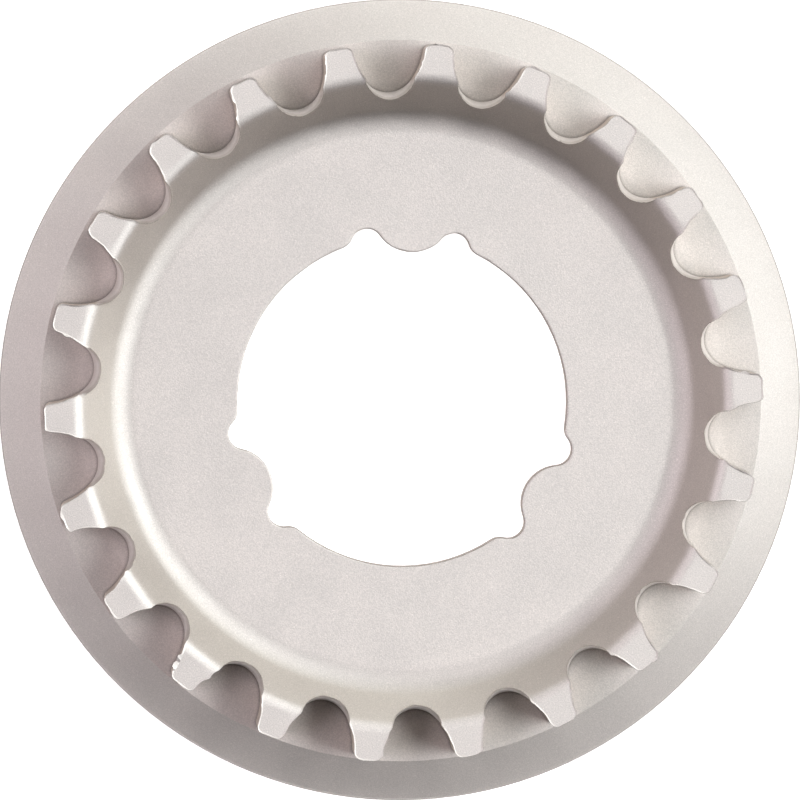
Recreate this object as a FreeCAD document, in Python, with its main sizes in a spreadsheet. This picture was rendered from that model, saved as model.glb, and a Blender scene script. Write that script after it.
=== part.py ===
import FreeCAD, Part
import math
import os
import Sketcher

os.makedirs("parts", exist_ok=True)
doc = FreeCAD.newDocument("belt_pinion")

# Driving dimensions, in millimetres and degrees

SIZES = [
    ("tooth_count", 22),
    ("belt_pitch", 11.0),
    ("belt_line_offset", 0.77),
    ("tooth_reach", 8.5),
    ("tooth_depth", 5.05),
    ("tooth_face_width", 2.95),
    ("root_arc_radius", 3.1),
    ("flank_radius", 7.45),
    ("tip_corner_radius", 0.75),
    ("space_mouth_width", 9.24),
    ("space_phase", 10.58),
    ("cutter_overrun", 1.0),
    ("root_lip_radius", 2.58),
    ("root_lip_draft", 7.4),
    ("floor_margin", 0.45),
    ("flange_width", 4.37),
    ("flange_drop", 3.1),
    ("rim_thickness", 1.4),
    ("rim_edge_chamfer", 0.3),
    ("dish_depth", 4.87),
    ("dish_edge_radius", 1.62),
    ("dish_wall_angle", 50.0),
    ("web_fillet_radius", 3.3),
    ("web_thickness", 3.0),
    ("back_ring_width", 11.5),
    ("recess_wall_angle", 45.0),
    ("recess_fillet_radius", 1.5),
    ("bore_radius", 17.4),
    ("lug_count", 3),
    ("lug_phase", 87.0),
    ("lug_height", 1.6),
    ("lug_nose_radius", 4.1),
    ("notch_radius", 1.72),
    ("notch_depth", 1.27),
    ("shoulder_radius", 1.74),
]

# Sizes that follow from them

DERIVED = [
    ("tip_radius", "tooth_count * belt_pitch / (2 * pi) - belt_line_offset"),
    ("root_radius", "tip_radius - tooth_depth"),
    ("crease_radius", "tip_radius + floor_margin"),
    ("rim_radius", "crease_radius + flange_width"),
    ("floor_height", "rim_thickness + flange_drop"),
    ("front_height", "floor_height + tooth_reach"),
    ("face_inner_radius", "tip_radius - tooth_face_width"),
    ("web_front_height", "front_height - dish_depth"),
    ("web_back_height", "web_front_height - web_thickness"),
    ("recess_radius", "rim_radius - back_ring_width"),
    ("lug_tip_radius", "bore_radius - lug_height"),
    ("notch_circle_radius", "bore_radius + notch_depth - notch_radius"),
    ("pilot_radius", "lug_tip_radius / 2"),
    ("lip_floor_centre", "root_radius + root_lip_radius / cos(root_lip_draft * 1deg)"),
    ("lip_front_centre", "lip_floor_centre - tooth_reach * tan(root_lip_draft * 1deg)"),
    ("lip_axis_distance", "lip_front_centre * cos(root_lip_draft * 1deg)"),
    ("tip_corner_centre", "tip_radius - tip_corner_radius"),
    ("tip_corner_side", "tip_corner_centre * space_mouth_width / (2 * tip_radius)"),
    ("root_arc_centre", "root_radius + root_arc_radius"),
    ("space_outer_radius", "rim_radius + cutter_overrun"),
    ("nose_centre", "lug_tip_radius + lug_nose_radius"),
    ("half_lug_sector", "180 / lug_count"),
]

sheet = doc.addObject("Spreadsheet::Sheet", "sizes")
for row, (name, value) in enumerate(SIZES, start=1):
    sheet.set(f"A{row}", name)
    sheet.set(f"B{row}", str(value))
    sheet.setAlias(f"B{row}", name)
for row, (name, formula) in enumerate(DERIVED, start=len(SIZES) + 1):
    sheet.set(f"A{row}", name)
    sheet.set(f"B{row}", "=" + formula)
    sheet.setAlias(f"B{row}", name)
doc.recompute()


def size(name):
    """The number that a cell of the sheet holds."""
    return float(getattr(sheet, name))


def point(x, y):
    return FreeCAD.Vector(x, y, 0)


def polar(radius, degrees, centre=(0.0, 0.0)):
    """A point of the sketch plane at a radius and an angle from a centre."""
    turn = math.radians(degrees)
    return point(centre[0] + radius * math.cos(turn), centre[1] + radius * math.sin(turn))


def bearing(start, end):
    """The angle of the line from one point of the sketch plane to another."""
    return math.degrees(math.atan2(end[1] - start[1], end[0] - start[0]))


def line(start, end):
    return Part.LineSegment(start, end)


def arc(centre, radius, first, last):
    """A counterclockwise arc between two angles in degrees."""
    circle = Part.Circle(point(*centre), FreeCAD.Vector(0, 0, 1), radius)
    return Part.ArcOfCircle(circle, math.radians(first), math.radians(last))


def meet(centre_a, radius_a, centre_b, radius_b, side):
    """The crossing of two circles that lies on the given side of the line a to b."""
    dx = centre_b[0] - centre_a[0]
    dy = centre_b[1] - centre_a[1]
    gap = math.hypot(dx, dy)
    along = (radius_a ** 2 - radius_b ** 2 + gap ** 2) / (2 * gap)
    off = side * math.sqrt(radius_a ** 2 - along ** 2)
    x = centre_a[0] + (along * dx - off * dy) / gap
    y = centre_a[1] + (along * dy + off * dx) / gap
    return (x, y)


# Numbers of a curve's points and of the X axis, which starts at the origin

START, END, CENTRE = range(1, 4)
X_AXIS = -START
ORIGIN = (X_AXIS, START)
FULL_TURN = 360
SAME_RADIUS = 1e-4

body = doc.addObject("PartDesign::Body", "belt_pinion")
body.Label = "belt_pinion"


def plane(role):
    for feature in body.Origin.OriginFeatures:
        if feature.Role == role:
            return feature
    raise RuntimeError("no plane " + role)


def new_sketch(name, role):
    sketch = body.newObject("Sketcher::SketchObject", name)
    sketch.AttachmentSupport = [(plane(role), "")]
    sketch.MapMode = "FlatFace"
    return sketch


def tie(sketch, *args):
    """Adds a constraint without a size."""
    return sketch.addConstraint(Sketcher.Constraint(*args))


def tie_size(sketch, expression, *args):
    """Adds a constraint whose size follows the sheet."""
    index = sketch.addConstraint(Sketcher.Constraint(*args))
    sketch.setExpression(f"Constraints[{index}]", expression)
    return index


def lift_and_turn(sketch, height, degrees):
    """Raises a sketch on the XY plane and turns it about the Z axis."""
    rotation = FreeCAD.Rotation(FreeCAD.Vector(0, 0, 1), size(degrees))
    sketch.AttachmentOffset = FreeCAD.Placement(point(0, 0), rotation)
    sketch.setExpression("AttachmentOffset.Base.z", f"sizes.{height} * 1mm")
    sketch.setExpression("AttachmentOffset.Rotation.Angle", f"sizes.{degrees} * 1deg")


# Turned blank: flange, tooth ring, dished web and back recess in one section

def blank_section():
    section = new_sketch("blank_section", "XZ_Plane")
    rim = size("rim_radius")
    crease = size("crease_radius")
    tip = size("tip_radius")
    face = size("face_inner_radius")
    pilot = size("pilot_radius")
    recess = size("recess_radius")
    rim_top = size("rim_thickness")
    floor = size("floor_height")
    front = size("front_height")
    web_front = size("web_front_height")
    web_back = size("web_back_height")
    edge = size("dish_edge_radius")
    fillet = size("web_fillet_radius")
    wall = size("dish_wall_angle")
    back_fillet = size("recess_fillet_radius")
    back_wall = size("recess_wall_angle")

    edge_centre = (face, front - edge)
    wall_top = polar(edge, 90 + wall, edge_centre)
    drop = wall_top.y - web_front - fillet * (1 - math.cos(math.radians(wall)))
    wall_foot = point(wall_top.x - drop / math.tan(math.radians(wall)), wall_top.y - drop)
    web_centre = (wall_foot.x - fillet * math.sin(math.radians(wall)), web_front + fillet)
    recess_rise = web_back - back_fillet * (1 - math.cos(math.radians(back_wall)))
    recess_top = point(recess - recess_rise / math.tan(math.radians(back_wall)), recess_rise)
    back_sine = back_fillet * math.sin(math.radians(back_wall))
    back_centre = (recess_top.x - back_sine, web_back - back_fillet)

    shapes = [
        line(point(recess, 0), point(rim, 0)),
        line(point(rim, 0), point(rim, rim_top)),
        line(point(rim, rim_top), point(crease, floor)),
        line(point(crease, floor), point(tip, floor)),
        line(point(tip, floor), point(tip, front)),
        line(point(tip, front), point(face, front)),
        arc(edge_centre, edge, 90, 90 + wall),
        line(wall_top, wall_foot),
        arc(web_centre, fillet, 270, 270 + wall),
        line(point(web_centre[0], web_front), point(pilot, web_front)),
        line(point(pilot, web_front), point(pilot, web_back)),
        line(point(pilot, web_back), point(back_centre[0], web_back)),
        arc(back_centre, back_fillet, 90 - back_wall, 90),
        line(recess_top, point(recess, 0)),
    ]
    (back, rim_side, cone, ledge, tip_side, tooth_face, edge_arc, dish_wall,
     web_arc, web_face, pilot_side, web_rear, rear_arc, rear_wall) = section.addGeometry(shapes)

    for first, second in [(back, rim_side), (rim_side, cone), (cone, ledge), (ledge, tip_side),
                          (tip_side, tooth_face), (web_face, pilot_side),
                          (pilot_side, web_rear), (rear_wall, back)]:
        tie(section, "Coincident", first, END, second, START)
    for flat in (back, ledge, tooth_face, web_face, web_rear):
        tie(section, "Horizontal", flat)
    for upright in (rim_side, tip_side, pilot_side):
        tie(section, "Vertical", upright)
    tie(section, "Tangent", tooth_face, END, edge_arc, START)
    tie(section, "Tangent", edge_arc, END, dish_wall, START)
    tie(section, "Tangent", dish_wall, END, web_arc, END)
    tie(section, "Tangent", web_arc, START, web_face, START)
    tie(section, "Tangent", web_rear, END, rear_arc, END)
    tie(section, "Tangent", rear_arc, START, rear_wall, START)

    tie(section, "PointOnObject", back, START, X_AXIS)
    for name, curve, end in [("recess_radius", back, START), ("rim_radius", back, END),
                             ("crease_radius", cone, END), ("tip_radius", tip_side, START),
                             ("face_inner_radius", tooth_face, END),
                             ("pilot_radius", pilot_side, START)]:
        tie_size(section, f"sizes.{name}", "DistanceX", *ORIGIN, curve, end, size(name))
    for name, curve, end in [("rim_thickness", rim_side, END), ("floor_height", cone, END),
                             ("front_height", tip_side, END),
                             ("web_front_height", pilot_side, START),
                             ("web_back_height", pilot_side, END)]:
        tie_size(section, f"sizes.{name}", "DistanceY", *ORIGIN, curve, end, size(name))
    for name, curve in [("dish_edge_radius", edge_arc), ("web_fillet_radius", web_arc),
                        ("recess_fillet_radius", rear_arc)]:
        tie_size(section, f"sizes.{name}", "Radius", curve, size(name))
    tie_size(section, "(180 + sizes.dish_wall_angle) * 1deg", "Angle", X_AXIS, START, dish_wall,
             START, math.radians(180 + wall))
    tie_size(section, "(360 - sizes.recess_wall_angle) * 1deg", "Angle", X_AXIS, START, rear_wall,
             START, math.radians(FULL_TURN - back_wall))
    return section


# Tooth space: round root, curved flanks and rounded tips of the two teeth beside it

def tooth_space_outline():
    outline = new_sketch("tooth_space_outline", "XY_Plane")
    lift_and_turn(outline, "front_height", "space_phase")
    root_arc = size("root_arc_radius")
    flank = size("flank_radius")
    corner = size("tip_corner_radius")
    outer = size("space_outer_radius")
    side = size("tip_corner_side")
    root_centre = (size("root_arc_centre"), 0.0)
    corner_centre = (math.sqrt(size("tip_corner_centre") ** 2 - side ** 2), side)
    flank_centre = meet(root_centre, flank - root_arc, corner_centre, flank + corner, -1)
    if flank_centre[1] > 0:
        flank_centre = meet(root_centre, flank - root_arc, corner_centre, flank + corner, 1)
    join = bearing(flank_centre, root_centre)
    bend = bearing(flank_centre, corner_centre)
    lean = bearing((0, 0), corner_centre)
    mirrored_corner = (corner_centre[0], -side)
    mirrored_flank = (flank_centre[0], -flank_centre[1])
    tip = size("tip_radius")

    shapes = [
        arc(root_centre, root_arc, join, FULL_TURN - join),
        arc(flank_centre, flank, bend, join),
        arc(corner_centre, corner, bend - 180, lean),
        line(polar(tip, lean), polar(outer, lean)),
        arc((0, 0), outer, -lean, lean),
        line(polar(tip, -lean), polar(outer, -lean)),
        arc(mirrored_corner, corner, -lean, 180 - bend),
        arc(mirrored_flank, flank, -join, -bend),
    ]
    root, flank_a, corner_a, exit_a, mouth, exit_b, corner_b, flank_b = outline.addGeometry(shapes)

    tie(outline, "Tangent", root, START, flank_a, END)
    tie(outline, "Tangent", flank_a, START, corner_a, START)
    tie(outline, "Perpendicular", corner_a, END, exit_a, START)
    tie(outline, "Perpendicular", exit_a, END, mouth, END)
    tie(outline, "Tangent", root, END, flank_b, START)
    tie(outline, "Tangent", flank_b, END, corner_b, END)
    tie(outline, "Perpendicular", corner_b, START, exit_b, START)
    tie(outline, "Perpendicular", exit_b, END, mouth, START)
    tie(outline, "Coincident", mouth, CENTRE, *ORIGIN)
    tie(outline, "PointOnObject", root, CENTRE, X_AXIS)
    tie_size(outline, "sizes.root_arc_centre", "DistanceX", *ORIGIN, root, CENTRE,
             size("root_arc_centre"))
    tie_size(outline, "sizes.root_arc_radius", "Radius", root, root_arc)
    tie_size(outline, "sizes.space_outer_radius", "Radius", mouth, outer)
    for curve in (flank_a, flank_b):
        tie_size(outline, "sizes.flank_radius", "Radius", curve, flank)
    for curve in (corner_a, corner_b):
        tie_size(outline, "sizes.tip_corner_radius", "Radius", curve, corner)
        tie_size(outline, "sizes.tip_corner_centre", "Distance", *ORIGIN, curve, CENTRE,
                 size("tip_corner_centre"))
    tie_size(outline, "sizes.tip_corner_side", "DistanceY", *ORIGIN, corner_a, CENTRE, side)
    tie_size(outline, "sizes.tip_corner_side", "DistanceY", corner_b, CENTRE, *ORIGIN, side)
    return outline


# Root lip: a round cut that leans outwards on its way from the front to the gap floor

def gap_floor_plane():
    level = body.newObject("PartDesign::Plane", "gap_floor")
    level.AttachmentSupport = [(plane("XY_Plane"), "")]
    level.MapMode = "FlatFace"
    level.setExpression("AttachmentOffset.Base.z", "sizes.floor_height * 1mm")
    return level


def root_lip_circle():
    circle = body.newObject("Sketcher::SketchObject", "root_lip_circle")
    circle.AttachmentSupport = [(plane("XY_Plane"), "")]
    circle.MapMode = "FlatFace"
    circle.setExpression("AttachmentOffset", (
        "placement(vector(0; 0; sizes.front_height);"
        " rotation(vector(0; 0; 1); sizes.space_phase)"
        " * rotation(vector(0; 1; 0); -sizes.root_lip_draft))"))
    centre = point(size("lip_axis_distance"), 0)
    ring = circle.addGeometry(Part.Circle(centre, FreeCAD.Vector(0, 0, 1), size("root_lip_radius")))
    tie(circle, "PointOnObject", ring, CENTRE, X_AXIS)
    tie_size(circle, "sizes.lip_axis_distance", "DistanceX", *ORIGIN, ring, CENTRE,
             size("lip_axis_distance"))
    tie_size(circle, "sizes.root_lip_radius", "Radius", ring, size("root_lip_radius"))
    return circle


# Hub bore: one lug with a round notch on each side, and the bore wall up to the next lugs

def lug_sector():
    sector = new_sketch("lug_sector", "XY_Plane")
    lift_and_turn(sector, "front_height", "lug_phase")
    bore = size("bore_radius")
    nose = size("lug_nose_radius")
    notch = size("notch_radius")
    shoulder = size("shoulder_radius")
    half = size("half_lug_sector")
    nose_centre = (size("nose_centre"), 0.0)
    notch_centre = meet((0.0, 0.0), size("notch_circle_radius"), nose_centre, nose + notch, 1)
    shoulder_centre = meet((0.0, 0.0), bore + shoulder, notch_centre, notch + shoulder, 1)
    to_notch = bearing(nose_centre, notch_centre)
    to_shoulder = bearing(notch_centre, shoulder_centre)
    to_bore = bearing((0, 0), shoulder_centre)
    mirrored_notch = (notch_centre[0], -notch_centre[1])
    mirrored_shoulder = (shoulder_centre[0], -shoulder_centre[1])

    shapes = [
        line(point(0, 0), polar(bore, half)),
        arc((0, 0), bore, to_bore, half),
        arc(shoulder_centre, shoulder, to_bore - 180, to_shoulder + 180),
        arc(notch_centre, notch, to_notch - 180, to_shoulder),
        arc(nose_centre, nose, to_notch, FULL_TURN - to_notch),
        arc(mirrored_notch, notch, -to_shoulder, 180 - to_notch),
        arc(mirrored_shoulder, shoulder, 180 - to_shoulder, 180 - to_bore),
        arc((0, 0), bore, -half, -to_bore),
        line(point(0, 0), polar(bore, -half)),
    ]
    (side_a, wall_a, shoulder_a, notch_a, lug, notch_b,
     shoulder_b, wall_b, side_b) = sector.addGeometry(shapes)

    tie(sector, "Coincident", side_a, START, *ORIGIN)
    tie(sector, "Coincident", side_b, START, *ORIGIN)
    tie(sector, "Coincident", side_a, END, wall_a, END)
    tie(sector, "Coincident", side_b, END, wall_b, START)
    tie(sector, "Coincident", wall_a, CENTRE, *ORIGIN)
    tie(sector, "Coincident", wall_b, CENTRE, *ORIGIN)
    tie(sector, "Tangent", wall_a, START, shoulder_a, START)
    tie(sector, "Tangent", shoulder_a, END, notch_a, END)
    tie(sector, "Tangent", notch_a, START, lug, START)
    tie(sector, "Tangent", lug, END, notch_b, END)
    tie(sector, "Tangent", notch_b, START, shoulder_b, START)
    tie(sector, "Tangent", shoulder_b, END, wall_b, END)
    tie(sector, "PointOnObject", lug, CENTRE, X_AXIS)
    tie_size(sector, "sizes.nose_centre", "DistanceX", *ORIGIN, lug, CENTRE, nose_centre[0])
    for name, curve in [("bore_radius", wall_a), ("bore_radius", wall_b),
                        ("shoulder_radius", shoulder_a), ("shoulder_radius", shoulder_b),
                        ("notch_radius", notch_a), ("notch_radius", notch_b),
                        ("lug_nose_radius", lug)]:
        tie_size(sector, f"sizes.{name}", "Radius", curve, size(name))
    for curve in (notch_a, notch_b):
        tie_size(sector, "sizes.notch_circle_radius", "Distance", *ORIGIN, curve, CENTRE,
                 size("notch_circle_radius"))
    tie_size(sector, "sizes.half_lug_sector * 1deg", "Angle", X_AXIS, START, side_a, START,
             math.radians(half))
    tie_size(sector, "sizes.half_lug_sector * 1deg", "Angle", side_b, START, X_AXIS, START,
             math.radians(half))
    return sector


def polar_pattern(name, originals, count):
    """Repeats features evenly round the Z axis."""
    pattern = body.newObject("PartDesign::PolarPattern", name)
    pattern.Originals = originals
    pattern.Axis = (plane("Z_Axis"), [""])
    pattern.Angle = FULL_TURN
    pattern.setExpression("Occurrences", f"sizes.{count}")
    body.Tip = pattern
    doc.recompute()
    return pattern


def ring_edges(shape, radius):
    """Names of the circular edges of the given radius about the Z axis."""
    names = []
    for index, edge in enumerate(shape.Edges, start=1):
        curve = edge.Curve
        if isinstance(curve, Part.Circle) and abs(curve.Radius - radius) < SAME_RADIUS:
            names.append(f"Edge{index}")
    return names


blank_sketch = blank_section()
doc.recompute()
blank = body.newObject("PartDesign::Revolution", "blank")
blank.Profile = blank_sketch
blank.ReferenceAxis = (plane("Z_Axis"), [""])
blank.Angle = FULL_TURN
doc.recompute()

rim_edges = body.newObject("PartDesign::Chamfer", "rim_edges")
rim_edges.Base = (blank, ring_edges(blank.Shape, size("rim_radius")))
rim_edges.setExpression("Size", "sizes.rim_edge_chamfer * 1mm")
doc.recompute()

space_sketch = tooth_space_outline()
space = body.newObject("PartDesign::Pocket", "tooth_space")
space.Profile = space_sketch
space.setExpression("Length", "sizes.tooth_reach * 1mm")
doc.recompute()

gap_floor = gap_floor_plane()
lip_sketch = root_lip_circle()
doc.recompute()
lip = body.newObject("PartDesign::Pocket", "root_lip")
lip.Profile = lip_sketch
lip.Type = "UpToFace"
lip.UpToFace = (gap_floor, [""])
doc.recompute()
toothed = polar_pattern("tooth_spaces", [space, lip], "tooth_count")

sector_sketch = lug_sector()
sector = body.newObject("PartDesign::Pocket", "hub_bore_sector")
sector.Profile = sector_sketch
sector.Type = "ThroughAll"
doc.recompute()
polar_pattern("hub_bore", [sector], "lug_count")
body.Placement = FreeCAD.Placement()
doc.recompute()

# Nothing is written unless every object is sound

for item in doc.Objects:
    if "Invalid" in item.State or "Error" in item.State:
        raise RuntimeError(f"{item.Name} failed: {item.State}")
for item in (blank, rim_edges, space, lip, toothed):
    print(item.Name, round(item.Shape.Volume, 2))
for sketch in doc.findObjects("Sketcher::SketchObject"):
    if sketch.solve() != 0:
        raise RuntimeError(sketch.Name + " doesn't solve")
    print(sketch.Name, "fully constrained:", sketch.FullyConstrained)

shape = body.Shape
if shape.isNull() or not shape.isValid() or len(shape.Solids) != 1:
    raise RuntimeError("belt_pinion isn't one sound solid")
print("volume", round(shape.Volume, 2))
shape.exportStep(f"parts/{body.Label}.step")
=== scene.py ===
import math

import bmesh
import bpy
from mathutils import Matrix, Vector, noise


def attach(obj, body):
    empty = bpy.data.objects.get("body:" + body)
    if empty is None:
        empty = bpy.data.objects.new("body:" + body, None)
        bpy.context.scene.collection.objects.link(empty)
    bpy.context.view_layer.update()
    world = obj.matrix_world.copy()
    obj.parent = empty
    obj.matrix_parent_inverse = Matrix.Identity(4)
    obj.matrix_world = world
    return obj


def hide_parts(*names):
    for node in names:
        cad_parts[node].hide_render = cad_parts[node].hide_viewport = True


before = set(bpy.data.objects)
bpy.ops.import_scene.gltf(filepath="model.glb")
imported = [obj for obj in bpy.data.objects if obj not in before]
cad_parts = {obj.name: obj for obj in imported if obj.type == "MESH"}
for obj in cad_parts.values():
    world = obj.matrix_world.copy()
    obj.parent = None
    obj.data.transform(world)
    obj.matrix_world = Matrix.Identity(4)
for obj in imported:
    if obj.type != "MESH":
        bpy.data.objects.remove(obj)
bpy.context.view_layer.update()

MM = 0.001

# Heights and radii of the pinion, as in the CAD part

RIM_MIDDLE = 0.7 * MM
GAP_FLOOR_LEVEL = 4.5 * MM
WEB_LEVEL = 8.13 * MM
FRONT_LEVEL = 13.0 * MM
BORE_RADIUS = 17.4 * MM
FILLET_INNER_RADIUS = 28.4 * MM
ROOT_RADIUS = 32.695 * MM
DISH_TOP_RADIUS = 33.55 * MM
TIP_RADIUS = 37.745 * MM
CREASE_RADIUS = 38.195 * MM
RIM_RADIUS = 42.565 * MM

# Edges: which are sharp, how finely they are cut, and the strip that stands up along them

MERGE_GAP = 1e-6
SHARP_EDGE = math.radians(32)
SMOOTH_ANGLE = math.radians(30)
STEEPEST_FACE = math.cos(math.radians(56))
LEVEL_FACE = math.cos(math.radians(0.5))
EDGE_SPACING = 0.35 * MM
MOST_CUTS = 8
RIDGE_START = GAP_FLOOR_LEVEL + 1.0 * MM
RIDGE_WIDTH = 0.15 * MM
RIDGE_HEIGHT = 0.06 * MM
RIDGE_UNEVENNESS = 1.5

# Unevenness of the edges: slow waves, burrs here and there, and less of both at the bore

WAVE_LENGTH = 1.1 * MM
WAVE_SIZE = 0.09 * MM
BURR_LENGTH = 0.7 * MM
BURR_SIZE = 0.4 * MM
BURR_RARITY = 0.25
BORE_SHARE = 0.2
BORE_RISE = -0.7
BURR_SHIFT = Vector((7, 3, 1))
RIDGE_SHIFT = Vector((2, 5, 8))
FLAW_SHIFT = Vector((4, 1, 6))

# Chips and burrs that stand out on the real part: azimuth, and radius, reach and depth in mm

FLAWS = [
    (8.3, 32.9, 0.9, 0.16),
    (21.2, 34.2, 0.7, 0.12),
    (119.2, 36.0, 0.9, -0.12),
    (228.9, 36.2, 1.3, 0.34),
    (89.3, 16.3, 0.7, -0.12),
]
FLAW_LENGTH = 0.37 * MM
FLAW_CORE = 0.3
FLAW_PUSH = (0.5, 2.0)
FLAW_RISE = (0.2, 1.4)

# Colours of the steel on each kind of surface; the lips, flanks and bore wall are darker partly
# as painted shade, and the last colour is painted shade

FLAT_STEEL = (0.768, 0.722, 0.70, 1.0)
FILLET_STEEL = (0.69, 0.648, 0.627, 1.0)
WALL_STEEL = (0.555, 0.512, 0.477, 1.0)
FLANGE_STEEL = (0.642, 0.601, 0.578, 1.0)
FLOOR_STEEL = (0.765, 0.719, 0.696, 1.0)
# The next three are darker cut steel, partly painted shade on these steep faces
LIP_STEEL_AND_SHADE = (0.59, 0.545, 0.51, 1.0)
FLANK_STEEL_AND_SHADE = (0.52, 0.45, 0.40, 1.0)
BORE_STEEL_AND_SHADE = (0.33, 0.29, 0.26, 1.0)
WORN_EDGE = (0.95, 0.93, 0.91, 1.0)
# Painted shade, for the inner corners, the sharp edges, the bore edge and the rim's edge
PAINTED_SHADE = (0.17, 0.14, 0.12, 1.0)

# Where each kind of surface begins or ends: the two limits of the change, by radius or height

BORE_END = (BORE_RADIUS + 2.0 * MM, BORE_RADIUS + 3.0 * MM)
SLOPE_BAND = (FILLET_INNER_RADIUS, DISH_TOP_RADIUS + 0.1 * MM, 0.45 * MM)
WALL_HEIGHTS = (WEB_LEVEL + 0.05 * MM, WEB_LEVEL + 1.2 * MM)
LIP_BAND = (ROOT_RADIUS - 1.4 * MM, ROOT_RADIUS + 0.7 * MM, 0.2 * MM)
GAP_START = (ROOT_RADIUS - 1.2 * MM, ROOT_RADIUS - 1.0 * MM)
GAP_HEIGHTS = (GAP_FLOOR_LEVEL + 0.2 * MM, GAP_FLOOR_LEVEL + 6.0 * MM)
FLANK_START = (ROOT_RADIUS + 0.6 * MM, ROOT_RADIUS + 1.6 * MM)
FLANK_END = (CREASE_RADIUS, CREASE_RADIUS + 0.1 * MM)
# The foot, where the inner corners get painted shade
FOOT_END = (CREASE_RADIUS - 0.6 * MM, CREASE_RADIUS)
FOOT_HEIGHTS = (GAP_FLOOR_LEVEL + 0.5 * MM, GAP_FLOOR_LEVEL + 3.0 * MM)
FLANGE_START = (CREASE_RADIUS - 0.05 * MM, CREASE_RADIUS + 0.05 * MM)
# The rim's edge, which gets painted shade
RIM_START = (RIM_RADIUS - 0.18 * MM, RIM_RADIUS - 0.1 * MM)

# The same by the upward part of the surface's normal

FACING_FRONT = (-0.6, -0.4)
UPRIGHT = (0.2, 0.4)
LEANING = (0.35, 0.6)

# Edges in the material: width of the rounding, and its agreement with the surface's normal

EDGE_ROUNDING = 0.07 * MM
BORE_ROUNDING = 0.16 * MM
ROUNDING_SAMPLES = 8
WORN_AGREEMENT = (0.80, 0.985)
CORE_AGREEMENT = (0.85, 0.95)
BORE_AGREEMENT = (0.94, 0.9995)
# The painted shade in the inner corners: its reach, samples, and the cover over which it fades in
CORNER_REACH = 0.4 * MM
CORNER_SAMPLES = 6
CORNER_COVER = (0.45, 0.95)

# Patterns in the steel: size of their patches, detail and roughness; the fourth only breaks up
# the painted shade along the edges

GRAIN = (0.13 * MM, 1.0, 0.6)
SPECKS = (0.16 * MM, 0.0, 0.5)
PATCHES = (5.0 * MM, 3.0, 0.55)
EDGE_SHADE_BREAKS = (1.6 * MM, 2.0, 0.6)
WEAR = (0.5 * MM, 2.0, 0.6)

# The part of the noise over which each pattern changes

NOISE_RANGE = (0.3, 0.7)
SPECK_RANGE = (0.70, 0.78)
EDGE_SHADE_BREAK_RANGE = (0.40, 0.55)
WEAR_RANGE = (0.38, 0.62)

# How strongly each pattern shows, and how strong the painted shade is in the corners, at the rim,
# at the bore and along the edges

GRAIN_TONES = (0.93, 1.07)
PATCH_TONES = (-0.02, 0.02)
SPECK_TONES = (0.0, 0.12)
WORN_BRIGHTNESS = 0.2
CORNER_DARKNESS = 0.6
RIM_DARKNESS = 0.5
BORE_LINE_DARKNESS = 0.9
EDGE_SHADE_STRENGTHS = (0.6, 0.95)
ROUGHNESS = (0.62, 0.68)
WALL_SMOOTHNESS = 0.13
EDGE_SMOOTHNESS = 0.08
GRAIN_DEPTH = 0.018 * MM
GRAIN_STRENGTH = 0.85

# The view: far away and tilted a little; the rim's radius is given in half widths of the picture

CAMERA_DISTANCE = 0.971
CAMERA_TILT = 2.47
CAMERA_AZIMUTH = 143.0
CAMERA_REACH = 10 * CAMERA_DISTANCE
FILM_WIDTH = 36.0
RIM_IN_VIEW = 400.6 / 400.0

# Surroundings

WHITE = (1.0, 1.0, 1.0, 1.0)
FLOOR_SIZE = 6.0
FLOOR_GAP = 0.1 * MM
FLOOR_GREY = (0.85, 0.85, 0.85, 1.0)
FLOOR_ROUGHNESS = 0.9
FLOOR_GLOSS = 0.1
FLOOR_GLOW = 0.7

# Slight tints of the light from each side

IVORY = (0.97, 1.015, 1.005)
CREAM = (0.985, 1.015, 0.975)
MAUVE = (1.06, 0.965, 1.015)

# Soft lamps round the part: zenith, azimuth, irradiance, diameter and tint

LAMP_DISTANCE = 1.5
LAMPS = [
    (40, 0, 1.93, 0.92, IVORY),
    (40, 60, 0.26, 0.92, CREAM),
    (40, 180, 0.93, 0.92, MAUVE),
    (52, 40, 0.78, 0.92, IVORY),
    (64, 140, 0.14, 0.92, MAUVE),
    (64, 320, 0.16, 0.92, MAUVE),
    (72, 195, 0.13, 0.70, MAUVE),
    (74, 160, 0.13, 0.70, MAUVE),
    (79, 0, 0.46, 0.50, IVORY),
    (79, 60, 0.28, 0.50, CREAM),
    (79, 90, 0.54, 0.50, CREAM),
    (79, 120, 0.18, 0.50, CREAM),
]
AMBIENT = 0.03

scene = bpy.context.scene


def direction(zenith, azimuth):
    """The unit vector at an angle from +Z and an angle round it."""
    lean = math.radians(zenith)
    turn = math.radians(azimuth)
    side = math.sin(lean)
    return Vector((side * math.cos(turn), side * math.sin(turn), math.cos(lean)))


def aim(item, place, target, up=Vector((0, 1, 0))):
    """Puts a camera or lamp at a place, turned towards a target."""
    back = (place - target).normalized()
    right = up.cross(back).normalized()
    turned = Matrix((right, back.cross(right), back)).transposed().to_4x4()
    turned.translation = place
    item.matrix_world = turned


def only(item):
    """Selects one object and makes it the active one."""
    bpy.ops.object.select_all(action="DESELECT")
    item.select_set(True)
    bpy.context.view_layer.objects.active = item


# Node helpers

def feed(tree, socket, value):
    """Links another node's output to a socket, or sets the socket to a plain value."""
    if isinstance(value, bpy.types.NodeSocket):
        tree.links.new(value, socket)
    else:
        socket.default_value = value


def math_node(tree, operation, *values):
    """The result of one Math node."""
    node = tree.nodes.new("ShaderNodeMath")
    node.operation = operation
    for socket, value in zip(node.inputs, values):
        feed(tree, socket, value)
    return node.outputs[0]


def product(tree, *values):
    """All values multiplied together."""
    total = values[0]
    for value in values[1:]:
        total = math_node(tree, "MULTIPLY", total, value)
    return total


def larger(tree, *values):
    """The largest of the values."""
    total = values[0]
    for value in values[1:]:
        total = math_node(tree, "MAXIMUM", total, value)
    return total


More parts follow.
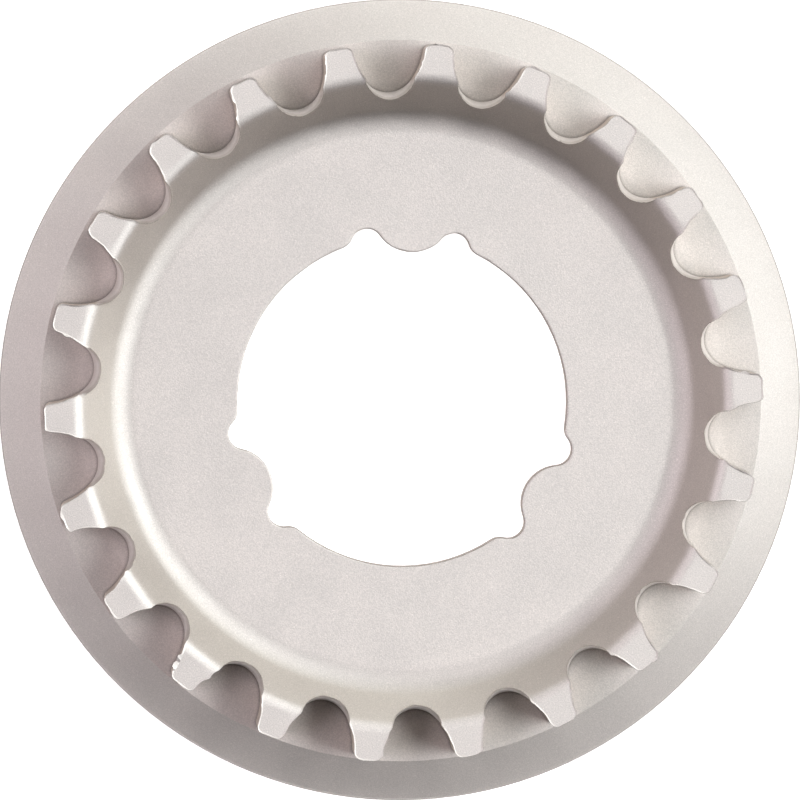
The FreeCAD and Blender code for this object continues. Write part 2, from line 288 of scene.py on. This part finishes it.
def ramp(tree, value, low, high, to_low=0.0, to_high=1.0):
    """Maps a value from one range to another, kept within it."""
    node = tree.nodes.new("ShaderNodeMapRange")
    node.interpolation_type = "SMOOTHSTEP"
    tree.links.new(value, node.inputs["Value"])
    node.inputs["From Min"].default_value = low
    node.inputs["From Max"].default_value = high
    node.inputs["To Min"].default_value = to_low
    node.inputs["To Max"].default_value = to_high
    return node.outputs["Result"]


def falling(tree, value, low, high):
    """One below the low limit, zero above the high one."""
    return ramp(tree, value, low, high, 1.0, 0.0)


def between(tree, value, low, high, blend):
    """One where a value lies between two limits, fading to nothing over a blend width."""
    rise = ramp(tree, value, low - blend, low + blend)
    fall = falling(tree, value, high - blend, high + blend)
    return product(tree, rise, fall)


def vector_node(tree, operation, first, second):
    """The scalar result of one Vector Math node."""
    node = tree.nodes.new("ShaderNodeVectorMath")
    node.operation = operation
    feed(tree, node.inputs[0], first)
    feed(tree, node.inputs[1], second)
    return node.outputs["Value"]


def noise_pattern(tree, place, size, detail, roughness):
    """Noise whose patches are about as large as size, in metres."""
    node = tree.nodes.new("ShaderNodeTexNoise")
    tree.links.new(place, node.inputs["Vector"])
    node.inputs["Scale"].default_value = 1.0 / size
    node.inputs["Detail"].default_value = detail
    node.inputs["Roughness"].default_value = roughness
    return node.outputs["Fac"]


def colour_sockets(sockets):
    """A Mix node's colour sockets, since it has sockets for numbers and vectors too."""
    return [socket for socket in sockets if socket.type == "RGBA"]


def mix_colours(tree, factor, first, second):
    """The first colour where the factor is zero, and the second where it is one."""
    node = tree.nodes.new("ShaderNodeMix")
    node.data_type = "RGBA"
    tree.links.new(factor, node.inputs["Factor"])
    for socket, value in zip(colour_sockets(node.inputs), (first, second)):
        feed(tree, socket, value)
    return colour_sockets(node.outputs)[0]


def paint(tree, colour, layers):
    """Lays one colour after another over the first, each where its mask is one."""
    for mask, layer in layers:
        colour = mix_colours(tree, mask, colour, layer)
    return colour


# Materials

def axis_and_height(tree, place):
    """A point's distance from the axis, and its height."""
    parts = tree.nodes.new("ShaderNodeSeparateXYZ")
    tree.links.new(place, parts.inputs[0])
    square_x = product(tree, parts.outputs["X"], parts.outputs["X"])
    square_y = product(tree, parts.outputs["Y"], parts.outputs["Y"])
    radius = math_node(tree, "SQRT", math_node(tree, "ADD", square_x, square_y))
    return radius, parts.outputs["Z"]


def rounded_edges(tree, width):
    """Normals rounded over sharp edges, how nearly they agree with the surface's, and those."""
    rounding = tree.nodes.new("ShaderNodeBevel")
    rounding.samples = ROUNDING_SAMPLES
    tree.links.new(width, rounding.inputs["Radius"])
    normal = tree.nodes.new("ShaderNodeNewGeometry").outputs["Normal"]
    rounded = rounding.outputs["Normal"]
    return rounded, vector_node(tree, "DOT_PRODUCT", rounded, normal), normal


def inner_corners(tree):
    """One in the inner corners, where painted shade goes, fading to nothing over their reach."""
    cover = tree.nodes.new("ShaderNodeAmbientOcclusion")
    cover.samples = CORNER_SAMPLES
    cover.only_local = True
    cover.inputs["Distance"].default_value = CORNER_REACH
    return falling(tree, cover.outputs["AO"], *CORNER_COVER)


def near_flaws(tree, place):
    """One near a chip or burr, fading to nothing at its reach."""
    masks = []
    for azimuth, radius, reach, _ in FLAWS:
        gap = vector_node(tree, "DISTANCE", place, flaw_place(azimuth, radius))
        masks.append(falling(tree, gap, FLAW_CORE * reach * MM, reach * MM))
    return larger(tree, *masks)


def surface_masks(tree, radius, height, normal, bore):
    """For each kind of surface a mask that is one on it."""
    lean = tree.nodes.new("ShaderNodeSeparateXYZ")
    tree.links.new(normal, lean.inputs[0])
    upward = lean.outputs["Z"]
    steepness = math_node(tree, "ABSOLUTE", upward)
    front = ramp(tree, upward, *FACING_FRONT)
    slope = product(tree, between(tree, radius, *SLOPE_BAND), front)
    low = falling(tree, height, *GAP_HEIGHTS)
    upright = falling(tree, steepness, *UPRIGHT)
    return {
        "slope": slope,
        "wall": product(tree, slope, ramp(tree, height, *WALL_HEIGHTS)),
        "flange": product(tree, ramp(tree, radius, *FLANGE_START), front),
        "rim": ramp(tree, radius, *RIM_START),
        "gap": product(tree, ramp(tree, radius, *GAP_START), front, low),
        "bore wall": product(tree, upright, bore),
        "flank": product(tree, upright, ramp(tree, radius, *FLANK_START),
                         falling(tree, radius, *FLANK_END)),
        "lip": product(tree, between(tree, radius, *LIP_BAND),
                       falling(tree, steepness, *LEANING)),
    }


def steel_tone(tree, grain, specks, patches):
    """Light and dark of the steel, round one."""
    tone = math_node(tree, "ADD", ramp(tree, grain, *NOISE_RANGE, *GRAIN_TONES),
                     ramp(tree, patches, *NOISE_RANGE, *PATCH_TONES))
    return math_node(tree, "ADD", tone, ramp(tree, specks, *SPECK_RANGE, *SPECK_TONES))


def scale_colour(tree, colour, factor):
    """A colour made lighter or darker by a factor."""
    node = tree.nodes.new("ShaderNodeVectorMath")
    node.operation = "SCALE"
    tree.links.new(colour, node.inputs[0])
    tree.links.new(factor, node.inputs["Scale"])
    return node.outputs["Vector"]


def blasted_steel():
    """Pale blasted steel with a fine grain and worn edges, and painted shade in the inner corners
    and along the edges.
    """
    material = bpy.data.materials.new("blasted_steel")
    material.use_nodes = True
    tree = material.node_tree
    shader = tree.nodes["Principled BSDF"]
    shader.inputs["Metallic"].default_value = 1.0
    place = tree.nodes.new("ShaderNodeTexCoord").outputs["Object"]
    radius, height = axis_and_height(tree, place)

    grain, specks, patches, edge_shade_breaks, wear = (
        noise_pattern(tree, place, *pattern)
        for pattern in (GRAIN, SPECKS, PATCHES, EDGE_SHADE_BREAKS, WEAR))

    bore = falling(tree, radius, *BORE_END)
    rounding = ramp(tree, bore, 0.0, 1.0, EDGE_ROUNDING, BORE_ROUNDING)
    rounded, agreement, normal = rounded_edges(tree, rounding)
    masks = surface_masks(tree, radius, height, normal, bore)
    colour = paint(tree, FLAT_STEEL, [
        (masks["gap"], FLOOR_STEEL),
        # The lips, flanks and bore wall are darker steel, partly painted shade
        (masks["lip"], LIP_STEEL_AND_SHADE),
        (masks["flank"], FLANK_STEEL_AND_SHADE),
        (masks["bore wall"], BORE_STEEL_AND_SHADE),
        (masks["flange"], FLANGE_STEEL),
        (masks["slope"], FILLET_STEEL),
        (masks["wall"], WALL_STEEL),
    ])
    colour = scale_colour(tree, colour, steel_tone(tree, grain, specks, patches))

    # The foot of the tooth spaces gets painted shade in its inner corners, and every other edge
    # is worn and has a thin painted shade
    foot = product(tree, falling(tree, height, *FOOT_HEIGHTS), falling(tree, radius, *FOOT_END),
                   ramp(tree, radius, *BORE_END))
    elsewhere = math_node(tree, "SUBTRACT", 1.0, foot)
    # Painted shade in the inner corners, where shade falls
    corner = product(tree, foot, inner_corners(tree), CORNER_DARKNESS)
    worn = product(tree, falling(tree, agreement, *WORN_AGREEMENT), elsewhere)
    broken = larger(tree, ramp(tree, wear, *WEAR_RANGE), near_flaws(tree, place))
    bright = product(tree, worn, broken, WORN_BRIGHTNESS, math_node(tree, "SUBTRACT", 1.0, bore))
    # Painted shade: a thin dark band along the sharp edges, where the rounded edge turns from the
    # light, broken up by noise
    line = product(tree, falling(tree, agreement, *CORE_AGREEMENT), elsewhere,
                   ramp(tree, edge_shade_breaks, *EDGE_SHADE_BREAK_RANGE, *EDGE_SHADE_STRENGTHS))
    # Painted shade: a thin dark band round the bore's edge
    bore_line = product(tree, falling(tree, agreement, *BORE_AGREEMENT), bore, BORE_LINE_DARKNESS)
    # Painted shade at the rim's outer edge too; all of it is laid on in one dark colour
    dark = larger(tree, corner, line, bore_line, product(tree, masks["rim"], RIM_DARKNESS))
    colour = paint(tree, colour, [(bright, WORN_EDGE), (dark, PAINTED_SHADE)])
    tree.links.new(colour, shader.inputs["Base Color"])

    rough = ramp(tree, patches, *NOISE_RANGE, *ROUGHNESS)
    for mask, smoothness in ((masks["wall"], WALL_SMOOTHNESS), (worn, EDGE_SMOOTHNESS)):
        rough = math_node(tree, "SUBTRACT", rough, product(tree, mask, smoothness))
    tree.links.new(rough, shader.inputs["Roughness"])

    bump = tree.nodes.new("ShaderNodeBump")
    bump.inputs["Distance"].default_value = GRAIN_DEPTH
    bump.inputs["Strength"].default_value = GRAIN_STRENGTH
    tree.links.new(grain, bump.inputs["Height"])
    tree.links.new(rounded, bump.inputs["Normal"])
    tree.links.new(bump.outputs["Normal"], shader.inputs["Normal"])
    return material


def pale_floor():
    """White floor that shows a faint shadow; to the camera it is white away from the part."""
    material = bpy.data.materials.new("pale_floor")
    material.use_nodes = True
    tree = material.node_tree
    shader = tree.nodes["Principled BSDF"]
    shader.inputs["Base Color"].default_value = FLOOR_GREY
    shader.inputs["Roughness"].default_value = FLOOR_ROUGHNESS
    shader.inputs["Specular IOR Level"].default_value = FLOOR_GLOSS
    glow = tree.nodes.new("ShaderNodeEmission")
    paths = tree.nodes.new("ShaderNodeLightPath").outputs
    seen = larger(tree, paths["Is Camera Ray"], paths["Is Glossy Ray"])
    tree.links.new(product(tree, seen, FLOOR_GLOW), glow.inputs["Strength"])
    both = tree.nodes.new("ShaderNodeAddShader")
    tree.links.new(shader.outputs[0], both.inputs[0])
    tree.links.new(glow.outputs[0], both.inputs[1])
    tree.links.new(both.outputs[0], tree.nodes["Material Output"].inputs["Surface"])
    return material


# The pinion itself: the CAD body with its edges made slightly uneven

def sharp_edges(mesh):
    """Indices and lengths of the edges whose two faces meet at a sharp angle."""
    shape = bmesh.new()
    shape.from_mesh(mesh)
    found = [(edge.index, edge.calc_length()) for edge in shape.edges
             if edge.calc_face_angle(0.0) > SHARP_EDGE]
    shape.free()
    return found


def select_edges(mesh, indices):
    """Selects these edges of a mesh and nothing else."""
    for part in (mesh.vertices, mesh.edges, mesh.polygons):
        part.foreach_set("select", [False] * len(part))
    for index in indices:
        mesh.edges[index].select = True


def split_sharp_edges(body):
    """Divides long sharp edges, so that they can be made slightly uneven."""
    for cuts in range(MOST_CUTS, 0, -1):
        long_edges = [index for index, length in sharp_edges(body.data)
                      if length > cuts * EDGE_SPACING]
        if not long_edges:
            continue
        select_edges(body.data, long_edges)
        only(body)
        bpy.ops.object.mode_set(mode="EDIT")
        bpy.ops.mesh.select_mode(type="EDGE")
        bpy.ops.mesh.subdivide(number_cuts=cuts)
        bpy.ops.object.mode_set(mode="OBJECT")


def inset_upper_faces(body):
    """Draws a narrow strip inside the upper sharp edges, so that they can stand up as a burr."""
    mesh = body.data
    select_edges(mesh, [])
    for face in mesh.polygons:
        centre = face.center
        face.select = (face.normal.z > STEEPEST_FACE and centre.z > RIDGE_START
                       and math.hypot(centre.x, centre.y) < TIP_RADIUS)
    only(body)
    bpy.ops.object.mode_set(mode="EDIT")
    bpy.ops.mesh.select_mode(type="FACE")
    bpy.ops.mesh.inset(thickness=RIDGE_WIDTH, depth=0.0, use_boundary=True,
                       use_even_offset=True)
    bpy.ops.mesh.region_to_loop()
    bpy.ops.mesh.mark_sharp()
    bpy.ops.object.mode_set(mode="OBJECT")


def mark_flat_faces(body):
    """Marks the level faces as strong, so that their shading stays level up to their edges."""
    mesh = body.data
    select_edges(mesh, [])
    for face in mesh.polygons:
        face.select = abs(face.normal.z) > LEVEL_FACE
    only(body)
    bpy.ops.object.mode_set(mode="EDIT")
    bpy.ops.mesh.select_mode(type="FACE")
    bpy.ops.mesh.mod_weighted_strength(set=True, face_strength="STRONG")
    bpy.ops.object.mode_set(mode="OBJECT")


def flaw_place(azimuth, radius):
    """Where a chip or burr lies: on the tooth faces, or at the web's front face for the bore."""
    level = FRONT_LEVEL if radius * MM > BORE_RADIUS else WEB_LEVEL
    turn = math.radians(azimuth)
    return Vector((radius * MM * math.cos(turn), radius * MM * math.sin(turn), level))


def unevenness(place, length, shift=Vector((0, 0, 0))):
    """Noise from about -1 to 1 whose bumps are as long as length."""
    return noise.noise(place / length + shift)


def sharp_places(mesh):
    """Places of the points on the sharp edges above the gap floors."""
    found = set()
    for index, _ in sharp_edges(mesh):
        for point in mesh.edges[index].vertices:
            place = mesh.vertices[point].co
            if place.z > RIDGE_START:
                found.add(tuple(place))
    return found


def roughen_sharp_edges(body, places):
    """Moves the points of the upper sharp edges in, out and up a little, with burrs and chips."""
    mesh = body.data
    flaws = [(flaw_place(azimuth, radius), reach * MM, depth * MM)
             for azimuth, radius, reach, depth in FLAWS]
    for vertex in mesh.vertices:
        if tuple(vertex.co) not in places:
            continue
        outward = Vector((vertex.normal.x, vertex.normal.y, 0.0))
        if outward.length < MERGE_GAP:
            continue
        place = vertex.co
        burr = max(0.0, unevenness(place, BURR_LENGTH, BURR_SHIFT) - BURR_RARITY)
        push = WAVE_SIZE * unevenness(place, WAVE_LENGTH) + BURR_SIZE * burr
        rise = RIDGE_HEIGHT * (1.0 + RIDGE_UNEVENNESS
                               * unevenness(place, WAVE_LENGTH, RIDGE_SHIFT))
        if math.hypot(place.x, place.y) < FILLET_INNER_RADIUS:
            push *= BORE_SHARE
            rise *= BORE_RISE
        for centre, reach, depth in flaws:
            closeness = math.sqrt(max(0.0, 1.0 - (place - centre).length / reach))
            push += depth * closeness * (FLAW_PUSH[0] + FLAW_PUSH[1]
                                         * unevenness(place, FLAW_LENGTH))
            rise += abs(depth) * closeness * (FLAW_RISE[0] + FLAW_RISE[1]
                                              * unevenness(place, FLAW_LENGTH, FLAW_SHIFT))
        vertex.co += outward.normalized() * push
        vertex.co.z += rise


def pinion_body():
    """A copy of the CAD body with uneven edges, shaded smooth and finished in steel."""
    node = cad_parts["belt_pinion"]
    body = node.copy()
    body.data = node.data.copy()
    body.name = "pinion_body"
    body.data.name = "pinion_body"
    scene.collection.objects.link(body)
    only(body)
    bpy.ops.object.mode_set(mode="EDIT")
    bpy.ops.mesh.select_all(action="SELECT")
    bpy.ops.mesh.remove_doubles(threshold=MERGE_GAP)
    bpy.ops.object.mode_set(mode="OBJECT")
    bpy.ops.mesh.customdata_custom_splitnormals_clear()
    split_sharp_edges(body)
    places = sharp_places(body.data)
    inset_upper_faces(body)
    roughen_sharp_edges(body, places)
    mark_flat_faces(body)
    only(body)
    bpy.ops.object.shade_smooth_by_angle(angle=SMOOTH_ANGLE, keep_sharp_edges=True)
    modifier = body.modifiers.new("even_shading", "WEIGHTED_NORMAL")
    modifier.mode = "FACE_AREA"
    modifier.keep_sharp = True
    modifier.use_face_influence = True
    bpy.ops.object.modifier_apply(modifier=modifier.name)

    body.data.materials.clear()
    body.data.materials.append(blasted_steel())
    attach(body, "root")
    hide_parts("belt_pinion")
    return body


# Floor, light and view

def floor():
    """A wide plane just under the part."""
    bpy.ops.object.select_all(action="DESELECT")
    bpy.ops.mesh.primitive_plane_add(size=FLOOR_SIZE, location=(0, 0, -FLOOR_GAP))
    plane = bpy.context.object
    plane.name = "floor"
    bpy.ops.object.transform_apply(location=True)
    plane.data.materials.append(pale_floor())


def lamps():
    """Soft round lamps, all at one distance and turned to the part's middle."""
    for zenith, azimuth, irradiance, diameter, tint in LAMPS:
        light = bpy.data.lights.new(f"soft_lamp_{zenith}_{azimuth}", "AREA")
        light.shape = "DISK"
        light.size = diameter
        light.color = tint
        # The power of a disk that gives this irradiance at the part
        light.energy = irradiance * math.pi * (LAMP_DISTANCE ** 2 + diameter ** 2 / 4)
        lamp = bpy.data.objects.new(light.name, light)
        lamp.visible_camera = False
        scene.collection.objects.link(lamp)
        aim(lamp, direction(zenith, azimuth) * LAMP_DISTANCE, Vector((0, 0, 0)))


def surrounding_light():
    """A faint light from all round; the camera sees it white."""
    world = bpy.data.worlds.new("studio")
    scene.world = world
    world.use_nodes = True
    tree = world.node_tree
    background = tree.nodes["Background"]
    background.inputs["Color"].default_value = WHITE
    seen = tree.nodes.new("ShaderNodeLightPath").outputs["Is Camera Ray"]
    strength = ramp(tree, seen, 0.0, 1.0, AMBIENT, 1.0)
    tree.links.new(strength, background.inputs["Strength"])


def camera():
    """The photograph's view, aimed at the middle of the rim."""
    view = bpy.data.objects.new("view", bpy.data.cameras.new("view"))
    scene.collection.objects.link(view)
    target = Vector((0, 0, RIM_MIDDLE))
    aim(view, target + direction(CAMERA_TILT, CAMERA_AZIMUTH) * CAMERA_DISTANCE, target)
    view.data.sensor_width = FILM_WIDTH
    view.data.lens = FILM_WIDTH / 2 * RIM_IN_VIEW * CAMERA_DISTANCE / RIM_RADIUS
    view.data.clip_end = CAMERA_REACH
    scene.camera = view


pinion_body()
floor()
lamps()
surrounding_light()
camera()
scene.view_settings.view_transform = "Standard"
